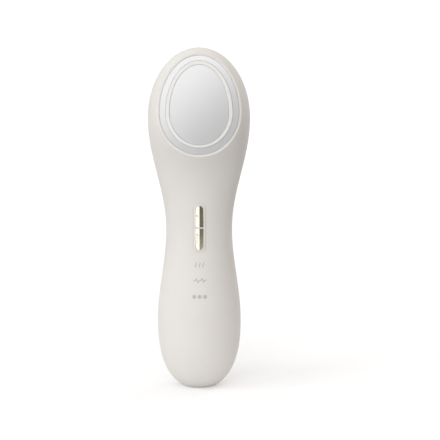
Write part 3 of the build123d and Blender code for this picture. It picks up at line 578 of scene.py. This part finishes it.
@dataclass
class ModeSigns:
    """The three signs printed over the light guides: warmth, pulses and cold.

    The pulses' corner and the stars' stroke are shares of the stroke, and the place and length of
    the forks are shares of a star's arm.
    """

    stroke: float = 0.26 * MM
    proud: float = 0.02 * MM
    guide: float = 2.4 * MM
    height: float = 2.3 * MM
    wave_pitch: float = 1.85 * MM
    wave_turn: float = 116.0
    pulse_start: float = -3.1 * MM
    pulse_run: float = 0.75 * MM
    pulse_rise: float = 0.84 * MM
    pulse_lean: float = 70.0
    pulse_corner: float = 0.55
    star_pitch: float = 2.7 * MM
    star_arm: float = 1.05 * MM
    star_stroke: float = 0.7
    fork_place: float = 0.62
    fork_length: float = 0.28

    def heights(self) -> list[float]:
        """The heights of the middles of the three light guides, from the top down."""
        low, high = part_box("light_guides")
        return [high.z - self.guide / 2, (low.z + high.z) / 2, low.z + self.guide / 2]

    def warmth(self, z: float) -> SignPen:
        """Three rising waves.

        Args:
            z: The height of the sign's middle.

        Returns:
            The pen that drew it.
        """
        pen = SignPen("warmth_sign", self.stroke)
        lean = self.wave_turn / 2
        radius = self.height / 4 / sin(radians(lean))
        middle = self.stroke / 2 * sin(radians(lean))
        for i in (-1, 0, 1):
            pen.start(middle + i * self.wave_pitch, z - self.height / 2, 90 + lean)
            pen.bend(radius, -self.wave_turn).bend(radius, self.wave_turn)
        return pen

    def pulses(self, z: float) -> SignPen:
        """A line with two sharp pulses.

        Args:
            z: The height of the sign's middle.

        Returns:
            The pen that drew it.
        """
        pen = SignPen("pulse_sign", self.stroke)
        lean = self.pulse_lean
        side = self.pulse_rise / sin(radians(lean))
        corner = self.pulse_corner * self.stroke
        pen.start(self.pulse_start, z, 0).straight(self.pulse_run)
        for _ in range(2):
            pen.bend(corner, lean).straight(side).bend(corner, -2 * lean)
            pen.straight(2 * side).bend(corner, 2 * lean).straight(side)
            pen.bend(corner, -lean).straight(self.pulse_run)
        return pen

    def cold(self, z: float) -> SignPen:
        """Three frost stars side by side, each with six forked arms.

        Args:
            z: The height of the sign's middle.

        Returns:
            The pen that drew it.
        """
        pen = SignPen("cold_sign", self.star_stroke * self.stroke)
        tine = self.fork_length * self.star_arm
        for i in (-1, 0, 1):
            middle = Vector((i * self.star_pitch, 0, z))
            for turn in range(30, 390, 60):
                pen.start(middle.x, middle.z, turn).straight(self.star_arm)
                fork = middle + self.fork_place * self.star_arm * ahead_of(turn)
                for side in (-60, 60):
                    pen.start(fork.x, fork.z, turn + side).straight(tine)
        return pen

    def build(self) -> None:
        """Draw the three signs and lay them on the front shell."""
        shell = frame["nodes"]["front_shell"]
        for draw, height in zip((self.warmth, self.pulses, self.cold), self.heights()):
            piece = draw(height).lay_on(shell, self.proud, "casing", PRINT)
            log.info("%s on the front shell", piece.name)


@dataclass
class CapSigns:
    """The small signs etched on the left facet of each button cap.

    Stem, bar and dash are lengths in radii of the rings, and stem_start and dash_start are how far
    from the ring's middle the two begin. The opening is half of the power ring's, in degrees.
    """

    stroke: float = 0.20 * MM
    step: float = 0.2 * MM
    proud: float = 0.008 * MM
    beside: float = 1.15 * MM
    radius: float = 0.45 * MM
    opening: float = 35.0
    closed: float = 350.0
    stem_start: float = 0.1
    stem: float = 1.2
    bar: float = 1.4
    dash_start: float = -0.4
    dash: float = 0.5
    mode_share: float = 0.50
    power_share: float = 0.74
    bars: tuple[float, ...] = (1.25 * MM, 2.10 * MM, 2.95 * MM, 3.80 * MM)

    def height(self, node: str, share: float) -> float:
        """A height on a cap.

        Args:
            node: The cap's node.
            share: How far up the cap, from 0 to 1.

        Returns:
            The height.
        """
        low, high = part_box(node)
        return low.z + share * (high.z - low.z)

    def power(self) -> SignPen:
        """A ring with a bar in its opening, over a column of level bars.

        Returns:
            The pen that drew it.
        """
        x, z = -self.beside, self.height("power_button", self.power_share)
        lean = radians(self.opening)
        pen = SignPen("power_sign", self.stroke, step=self.step)
        pen.start(x + self.radius * sin(lean), z + self.radius * cos(lean), -self.opening)
        pen.bend(self.radius, 2 * self.opening - 360)
        pen.start(x, z + self.stem_start * self.radius, 90).straight(self.stem * self.radius)
        for down in self.bars:
            begin = x - self.bar / 2 * self.radius
            pen.start(begin, z - down, 0).straight(self.bar * self.radius)
        return pen

    def mode(self) -> SignPen:
        """A ring round a short bar.

        Returns:
            The pen that drew it.
        """
        x, z = -self.beside, self.height("mode_button", self.mode_share)
        pen = SignPen("mode_sign", self.stroke, step=self.step)
        pen.start(x, z + self.radius, 0).bend(self.radius, -self.closed)
        pen.start(x + self.dash_start * self.radius, z, 0).straight(self.dash * self.radius)
        return pen

    def build(self) -> None:
        """Etch both caps."""
        for draw, node, body in ((self.power, "power_button", "power_key"),
                                 (self.mode, "mode_button", "mode_key")):
            piece = draw().lay_on(frame["nodes"][node], self.proud, body, ETCH)
            log.info("%s on the %s", piece.name, node)


# ------------------------------------------------------------------ studio
@dataclass(frozen=True)
class Card:
    """A glowing card that only reflections show, with a ramp of brightness across it.

    The heading is the direction that it faces in degrees, 0 towards -Y and 90 towards +X. The ramp
    runs through the card's middle, as far to each side as the vector along says.
    """

    name: str
    place: tuple[float, float, float]
    size: tuple[float, float]
    heading: float
    ramp: tuple[float, float]
    along: tuple[float, float]
    tint: Colour = (1.0, 1.0, 1.0)

    def place_it(self) -> None:
        """Stand the card in its place, hidden from all but reflections."""
        bpy.ops.object.select_all(action="DESELECT")
        bpy.ops.mesh.primitive_plane_add(size=1)
        card = bpy.context.object
        card.name = self.name
        card.scale = (*self.size, 1)
        bpy.ops.object.transform_apply(scale=True)
        card.rotation_euler = Euler((pi / 2, 0, radians(self.heading)))
        card.location = self.place
        made = bpy.data.materials.new(self.name)
        made.use_nodes = True
        draw = Sketch(made.node_tree)
        where = draw.node("ShaderNodeTexCoord").outputs["Object"]
        run = Vector((*self.along, 0))
        strength = draw.spread(draw.dot(where, run.normalized()), *self.ramp,
                               -run.length, run.length)
        glow = draw.node("ShaderNodeEmission", {"Color": (*self.tint, 1), "Strength": strength})
        draw.node("ShaderNodeOutputMaterial", {"Surface": glow.outputs[0]})
        card.data.materials.append(made)
        card.visible_camera = False
        card.visible_shadow = False
        card.visible_diffuse = False


@dataclass(frozen=True)
class Lamp:
    """A soft square lamp that faces the wand's middle; reflections show the cards instead."""

    name: str
    place: tuple[float, float, float]
    size: float
    power: float
    colour: Colour = (0.955, 1.0, 1.04)
    aim: tuple[float, float, float] = (0, 0, 0.09)

    def place_it(self) -> None:
        """Hang the lamp in its place."""
        lamp = bpy.data.lights.new(self.name, "AREA")
        lamp.size = self.size
        lamp.energy = self.power
        lamp.color = self.colour
        holder = bpy.data.objects.new(self.name, lamp)
        bpy.context.scene.collection.objects.link(holder)
        holder.location = self.place
        facing = Vector(self.aim) - Vector(self.place)
        holder.rotation_euler = facing.to_track_quat("-Z", "Y").to_euler()
        holder.visible_glossy = False


@dataclass
class Studio:
    """A white studio: floor, a soft dome of light, soft lamps and the cards for the metals.

    The floor's colour is pale close to the wand and darker far off. This is a painted pool of
    light, which brightens the bounce onto the wand's lower end. The camera sees it white where as
    much
    light falls on it as on an empty floor: light_near at near_radius, light_far from dim_radius on.
    """

    floor_half: float = 5.0
    clouds_per_metre: float = 8.0
    cloudy: float = 0.01
    # Floor colour inside and beyond a painted pool of light round the wand, which only its bounce
    # shows.
    floor_in_painted_pool: float = 0.74
    floor_beyond_painted_pool: float = 0.30
    near_radius: float = 0.05
    far_radius: float = 0.16
    light_near: float = 1.025
    light_far: float = 0.70
    dim_radius: float = 0.50
    white: float = 1.03
    ambient: float = 0.765
    ambient_tint: Colour = (1.0, 0.962, 0.937)
    lamps: tuple[Lamp, ...] = (
        Lamp("key_lamp", (-0.95, -0.45, 0.75), 0.6, 3.6),
        Lamp("front_lamp", (-0.25, -0.95, 0.80), 0.6, 1.75),
        Lamp("low_lamp", (-0.22, -0.45, 0.14), 0.25, 0.50),
        Lamp("back_lamp", (0.80, 0.75, 0.70), 0.5, 2.0),
    )
    cards: tuple[Card, ...] = (
        Card("front_card", (0.015, -1.30, 0.68), (1.6, 1.3), 180, (0.575, 1.06), (0.20, 0.20)),
        Card("strip_card", (0.24, -0.10, 0.10), (0.50, 0.22), 90, (0.14, 0.14), (0, 1),
             (1.0, 0.90, 0.72)),
    )

    def show_white(self, draw: Sketch) -> Socket:
        """Tell the rays that show the background: the camera's, reflected and refracted ones.

        Args:
            draw: The sketch of the floor's or the world's shader.

        Returns:
            1 for such rays and 0 for all others.
        """
        path = draw.node("ShaderNodeLightPath")
        seen = draw.sum(*(path.outputs[name] for name in
                          ("Is Camera Ray", "Is Glossy Ray", "Is Transmission Ray")))
        return draw.node("ShaderNodeClamp", {0: seen}).outputs[0]

    def floor(self) -> None:
        """The pale floor, which is white to the camera and keeps the wand's shadow."""
        bpy.ops.object.select_all(action="DESELECT")
        bpy.ops.mesh.primitive_plane_add(size=2 * self.floor_half)
        floor = bpy.context.object
        floor.name = "studio_floor"
        made = bpy.data.materials.new("studio_floor")
        made.use_nodes = True
        draw = Sketch(made.node_tree)
        length = draw.node("ShaderNodeVectorMath", {0: draw.place()}, operation="LENGTH")
        away = length.outputs["Value"]
        # Painted pool of light: the floor's colour is paler near the wand and darker far off.
        floor_tone_and_painted_pool = draw.spread(away, self.floor_in_painted_pool, self.floor_beyond_painted_pool,
                            self.near_radius, self.far_radius)
        cloud = draw.noise(draw.place(), self.clouds_per_metre, 2)
        floor_tone_and_painted_pool = draw.sum(floor_tone_and_painted_pool, draw.spread(cloud, -self.cloudy, self.cloudy, 0, 1))
        matte = draw.node("ShaderNodeBsdfDiffuse", {"Color": floor_tone_and_painted_pool})
        light = draw.spread(away, -self.light_near, -self.light_far,
                            self.near_radius, self.dim_radius)
        missing = draw.sum(self.white, draw.times(floor_tone_and_painted_pool, light))
        lift = draw.times(self.show_white(draw), missing)
        glow = draw.node("ShaderNodeEmission", {"Color": (1, 1, 1, 1), "Strength": lift})
        both = draw.node("ShaderNodeAddShader", {0: matte.outputs[0], 1: glow.outputs[0]})
        draw.node("ShaderNodeOutputMaterial", {"Surface": both.outputs[0]})
        floor.data.materials.append(made)

    def world(self) -> None:
        """White behind everything, and a plain even light from all sides."""
        world = bpy.data.worlds.new("studio")
        bpy.context.scene.world = world
        world.use_nodes = True
        draw = Sketch(world.node_tree)
        white = self.show_white(draw)
        strength = draw.spread(white, self.ambient, 1.0, 0, 1)
        colour = draw.mix(white, self.ambient_tint, (1, 1, 1))
        sky = draw.node("ShaderNodeBackground", {"Color": colour, "Strength": strength})
        draw.node("ShaderNodeOutputWorld", {"Surface": sky.outputs[0]})

    def build(self) -> None:
        """Set up the whole studio."""
        self.floor()
        self.world()
        for fitting in (*self.lamps, *self.cards):
            fitting.place_it()
        bpy.context.scene.view_settings.view_transform = "Standard"
        log.info("studio set up")


@dataclass
class Viewpoint:
    """The camera, far off and a little above the wand.

    It looks at a point so far beside the wand and at the middle's height, where the picture is
    picture_width wide. The sensor's width is in millimetres.
    """

    azimuth: float = -1.2
    elevation: float = 12.0
    distance: float = 1.10
    picture_width: float = 0.220
    beside: float = 0.01043
    middle: float = 0.0853
    sensor: float = 36.0

    def build(self) -> None:
        """Create the camera and make it the scene's."""
        turn, lift = radians(self.azimuth), radians(self.elevation)
        back = Vector((sin(turn) * cos(lift), -cos(turn) * cos(lift), sin(lift)))
        right = Vector((cos(turn), sin(turn), 0))
        lens = bpy.data.cameras.new("camera")
        lens.sensor_width = self.sensor
        lens.lens = self.sensor * self.distance / self.picture_width
        holder = bpy.data.objects.new("camera", lens)
        bpy.context.scene.collection.objects.link(holder)
        holder.location = Vector((0, 0, self.middle)) + right * self.beside + back * self.distance
        holder.rotation_euler = (-back).to_track_quat("-Z", "Y").to_euler()
        bpy.context.scene.camera = holder
        log.info("camera at %.0f mm, %.1f degrees up", self.distance / MM, degrees(lift))


def main() -> None:
    """Dress the wand, print its signs and set up the studio and the camera."""
    logging.basicConfig(level=logging.INFO, format="%(name)s: %(message)s")
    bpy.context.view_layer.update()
    for assembly in (Viewpoint(), Dressing(FINISHES), ModeSigns(), CapSigns(), Studio()):
        assembly.build()


if __name__ == "__main__":
    main()
